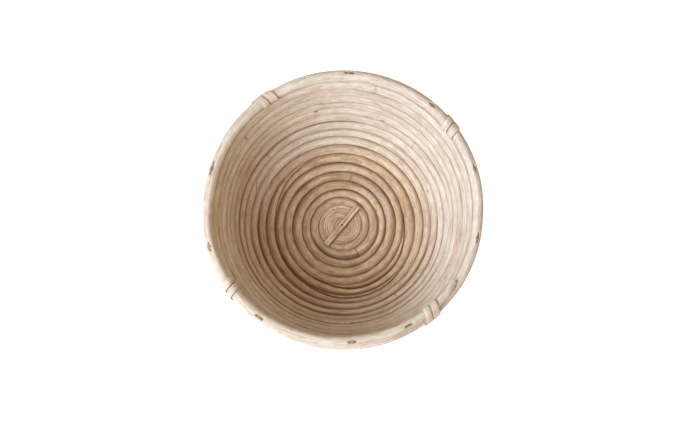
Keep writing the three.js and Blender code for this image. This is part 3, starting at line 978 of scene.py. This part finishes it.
def binding_ring(middle_turn, turns, width, lean, loop, travelled):
    scale = turns_per_metre(middle_turn)
    turn = middle_turn + lean * (loop - BINDING_LOOPS / 2) * (width + BINDING_SPACING) * scale
    angle = BINDING_START + 2 * math.pi * loop
    way = Vector((math.cos(angle), math.sin(angle)))
    dive = smooth(DIVE_LOOPS, 0, loop) + smooth(BINDING_LOOPS - DIVE_LOOPS, BINDING_LOOPS, loop)
    lift = BINDING_GAP + BINDING_THICKNESS * (0.5 - DIVE_DEPTH * dive)
    middle = furthest(turn, turns, way) + way * lift
    half = width / 2 * (1 + 0.1 * noise_at(travelled * 90, middle_turn * 7, 0))
    ring = []
    for corner in range(STRIP_SIDES):
        side, up = rounded(2 * math.pi * corner / STRIP_SIDES, BINDING_FLAT)
        place = in_room(middle + way * up * BINDING_THICKNESS / 2, turn + side * half * scale)
        fibre = Vector((travelled, side * half, up * BINDING_THICKNESS / 2 + middle_turn))
        # Painted shade at the edges of the strip, and at its ends where they dive into the groove below.
        edge = 0.6 * smooth(0.75, 1, abs(side))
        ring.append(Point(place, fibre, edge, 0, 0.5 * min(dive, 1), BINDING_TONE))
    return ring


def binding(heading, turns, width, lean):
    rings = []
    travelled = 0.0
    for place in range(BINDING_LOOPS * LOOP_STEPS + 1):
        loop = place / LOOP_STEPS
        rings.append(binding_ring(top_turn(heading), turns, width, lean, loop, travelled))
        travelled += LOOP_STEP_LENGTH
    return rolled_tube(rings)


for number, (turns, width, lean) in enumerate(BINDINGS):
    heading = BINDING_FIRST_HEADING + number * 360 / len(BINDINGS)
    strip = binding(heading, turns, width * MM, lean)
    keep_piece(strip, f"strip_round_rim_{number + 1}", rattan, "binding_cane", f"rim_binding_{number + 1}")

# %% [markdown]
# The middle of the floor is split cane wound on edge, two strips beside each other, until the inner strip
# runs out. A stick lies across them, and its shadow is painted beside it, darker on its near side. Two small
# functions say which share of a turn the inner strip fills and how dark the painted shadow is at a place.

# %% Strips and painted stick shadow of the centre
INNER_STRIP_SHARES = (0.52, 0.33)
INNER_STRIP_NARROWS = (-2.1, -1.5)
INNER_STRIP_END = -1.12
STICK_WIDTH = 4.8 * MM
STICK_HEADING = math.radians(51)
STICK_SHADOW_WIDTH = 2.3 * MM
STICK_SHADOW_FADES = (23 * MM, 18 * MM)
SHADOW_ON_NEAR_SIDE = 0.85
SHADOW_ON_FAR_SIDE = 0.45

eye = in_room(Vector((0, CORE_HEIGHT)), 0)
across_stick = Vector((-math.sin(STICK_HEADING), math.cos(STICK_HEADING)))


def strip_split(turn):
    share = mix(*INNER_STRIP_SHARES, smooth(*INNER_STRIP_NARROWS, turn))
    return share * (1 - smooth(INNER_STRIP_NARROWS[1], INNER_STRIP_END, turn))


# Painted shadow of the stick on the strips, darker on its near side.
def painted_stick_shadow(place):
    from_eye = place.xy - eye.xy
    beside = -across_stick.dot(from_eye)
    strength = SHADOW_ON_NEAR_SIDE if beside > 0 else SHADOW_ON_FAR_SIDE
    near_stick = smooth(STICK_SHADOW_WIDTH, 0, abs(beside) - STICK_WIDTH / 2)
    return strength * near_stick * smooth(*STICK_SHADOW_FADES, from_eye.length)


print("eye of the winding at", [round(size, 4) for size in eye])

# %% [markdown]
# The strips start thin and get thicker outwards, and then the thick cane takes over. They start a little
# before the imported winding, so they close its open eye. The same rolled tube makes them, with a squarer
# section and a top that goes up and down a little from turn to turn. The last turn is softer in section and
# has a brown stain along its outer edge.

# %% Centre winding
CORE_SIDES = 20
CORE_STEP = 1 / 110
CORE_PRESS = 0.03 * MM
CORE_JITTER = 0.25 * MM
CORE_FLAT = 0.82
LAST_FLAT = 0.55
LAST_TURN = (-1.6, -1.0)
STAIN_TURNS = (-0.46, -0.36)
STAIN_SIDES = (0.1, 0.45)
EYE_TURNS = 1.25
END_GAP = 0.04 * MM
END_SHADE_FADES = (1.1 * MM, 0.4 * MM)

core_end = COIL_START_TURN - END_GAP * turns_per_metre(COIL_START_TURN)


def core_ring(turn, travelled, low, high):
    inner, outer = max(groove(turn).x, 0), max(groove(turn + 1).x, 0)
    last = smooth(*LAST_TURN, turn)
    start = max(mix(inner, outer, low) - CORE_PRESS, 0)
    end = mix(inner, outer, high) + CORE_PRESS
    top = CORE_HEIGHT + CORE_JITTER * noise_at(turn * 2.3 + low, 5, 0)
    # Painted shade of the gap where the strip ends before the thick cane.
    end_shade = smooth(*END_SHADE_FADES, (core_end - turn) / turns_per_metre(turn))
    ring = []
    for corner in range(CORE_SIDES):
        side, up = rounded(2 * math.pi * corner / CORE_SIDES, mix(CORE_FLAT, LAST_FLAT, last))
        point = Vector(((start + end) / 2 + (end - start) / 2 * side, top / 2 * (1 + up)))
        fibre = Vector((travelled + low, (end - start) / 2 * side, top / 2 * up))
        place = in_room(point, turn)
        # Painted shade at the edges of the strips where they meet, over a broader band on the last turn.
        edge = smooth(mix(0.6, 0.0, last), 1, side) + 0.6 * smooth(0.8, 1, -side)
        # Painted shadow of the stick on the tops of the strips.
        stick_shadow = painted_stick_shadow(place) if up > 0 else 0
        shade_mark = min(mix(0.24, 0.55, last) * edge + stick_shadow, 0.8)
        stain = smooth(*STAIN_TURNS, turn) * smooth(*STAIN_SIDES, side)
        ring.append(Point(place, fibre, shade_mark, stain, 0.75 * end_shade, 0.0))
    return ring


def core_strip(end_turn, low_share, high_share):
    rings = []
    travelled = 0.0
    first_turn = CORE_START_TURN - EYE_TURNS
    count = math.ceil((end_turn - first_turn) / CORE_STEP)
    for step in range(count + 1):
        turn = first_turn + (end_turn - first_turn) * step / count
        rings.append(core_ring(turn, travelled, low_share(turn), high_share(turn)))
        travelled += CORE_STEP * 2 * math.pi * max(groove(turn + 0.5).x, 0)
    return rolled_tube(rings)


inner_strip = core_strip(INNER_STRIP_END, lambda turn: 0.0, lambda turn: max(strip_split(turn), 0.03))
outer_strip = core_strip(core_end, strip_split, lambda turn: 1.0)
keep_piece(joined([inner_strip, outer_strip]), "split_cane_centre", rattan, "split_cane", "centre_winding")

# %% [markdown]
# A flat stick, split by hand, lies across the middle. A cube is scaled to its size, its edges are bevelled
# and it is cut into short lengths, so that its sides can wobble like split wood. Three lengthwise cuts beside
# each other leave a line of points that is pressed in as the crack that runs from the middle to one end.

# %% Cross stick
STICK_LENGTH = 42 * MM
STICK_BEVEL = 0.3 * MM
STICK_CUTS = 30
STICK_WOBBLE = 0.22 * MM
STICK_TONE = 0.12
CRACK_SIDE = 0.25 * MM
CRACK_WIDTH = 0.22 * MM
CRACK_DEPTH = 0.5 * MM
CRACK_OPENS = (-1 * MM, 4 * MM)
CRACK_DARK = 0.6

stick_heights = [vert.co.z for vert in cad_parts["cross_stick"].data.vertices]
stick_bottom, stick_top = min(stick_heights), max(stick_heights)
stick = bmesh.new()
fibre, marks, tone = new_layers(stick)
bmesh.ops.create_cube(stick, size=1)
bmesh.ops.scale(stick, verts=stick.verts, vec=(STICK_LENGTH, STICK_WIDTH, stick_top - stick_bottom))
bevel_edges(stick, stick.edges[:], STICK_BEVEL)
long_edges = [edge for edge in stick.edges if edge.calc_length() > STICK_LENGTH / 2]
bmesh.ops.subdivide_edges(stick, edges=long_edges, cuts=STICK_CUTS, use_grid_fill=True)
for side in (CRACK_SIDE - CRACK_WIDTH, CRACK_SIDE, CRACK_SIDE + CRACK_WIDTH):
    everything = stick.verts[:] + stick.edges[:] + stick.faces[:]
    bmesh.ops.bisect_plane(stick, geom=everything, plane_co=(0, side, 0), plane_no=(0, 1, 0))
for vert in stick.verts:
    vert[fibre] = vert.co.copy()
    vert[tone] = STICK_TONE
    on_crack = abs(vert.co.y - CRACK_SIDE) < CRACK_WIDTH / 2 and vert.co.z > 0
    crack = smooth(*CRACK_OPENS, vert.co.x) if on_crack else 0.0
    vert[marks] = Vector((0, 0, CRACK_DARK * crack))
    vert.co.z -= CRACK_DEPTH * crack
    vert.co.y += STICK_WOBBLE * noise_at(vert.co.x * 90, vert.co.z * 200, 2)
bmesh.ops.rotate(stick, verts=stick.verts, cent=(0, 0, 0), matrix=Matrix.Rotation(STICK_HEADING, 3, "Z"))
bmesh.ops.translate(stick, verts=stick.verts, vec=(eye.x, eye.y, (stick_bottom + stick_top) / 2))
keep_piece(stick, "stick_across_centre", rattan, "split_cane", "cross_stick")

# %% [markdown]
# One small nail holds the stick. Its head starts as a disc: the face is pushed up and drawn in twice for a
# domed top, and the shank is drawn down from the other side.

# %% Brad
BRAD_HEAD_RADIUS = 0.75 * MM
BRAD_SHANK_RADIUS = 0.45 * MM
BRAD_SIDES = 20
HEAD_GAP = 0.05 * MM
HEAD_EDGE = 0.2 * MM
DOME_STEPS = [(0.25 * MM, 0.15 * MM), (0.3 * MM, 0.05 * MM)]

steel, tree, shader = new_finish("brad_steel")
place = make_node(tree, "TexCoord").outputs["Object"]
rust = make_node(tree, "TexNoise", Vector=place, Scale=1800.0, Detail=2.0).outputs[0]
fill(tree, shader.inputs["Base Color"], mix_colour(tree, rust, paint(44, 33, 26), paint(84, 66, 53)))
shader.inputs["Metallic"].default_value = 0.3
shader.inputs["Roughness"].default_value = 0.55

brad = bmesh.new()
bmesh.ops.create_circle(brad, cap_ends=True, segments=BRAD_SIDES, radius=BRAD_HEAD_RADIUS)
bmesh.ops.translate(brad, verts=brad.verts, vec=(0, 0, stick_top + HEAD_GAP))
under = next(iter(brad.faces))
head = bmesh.ops.extrude_face_region(brad, geom=[under], use_keep_orig=True)
top = next(item for item in head["geom"] if isinstance(item, bmesh.types.BMFace))
bmesh.ops.translate(brad, verts=top.verts, vec=(0, 0, HEAD_EDGE))
for inset, rise in DOME_STEPS:
    bmesh.ops.inset_region(brad, faces=[top], thickness=inset)
    bmesh.ops.translate(brad, verts=top.verts, vec=(0, 0, rise))
bmesh.ops.inset_region(brad, faces=[under], thickness=BRAD_HEAD_RADIUS - BRAD_SHANK_RADIUS)
bmesh.ops.translate(brad, verts=under.verts, vec=(0, 0, stick_bottom - under.calc_center_median().z))
bmesh.ops.recalc_face_normals(brad, faces=brad.faces)
bmesh.ops.translate(brad, verts=brad.verts, vec=eye.xy.to_3d())
keep_piece(brad, "nail_of_stick", steel, "brad_steel", "stick_brad")
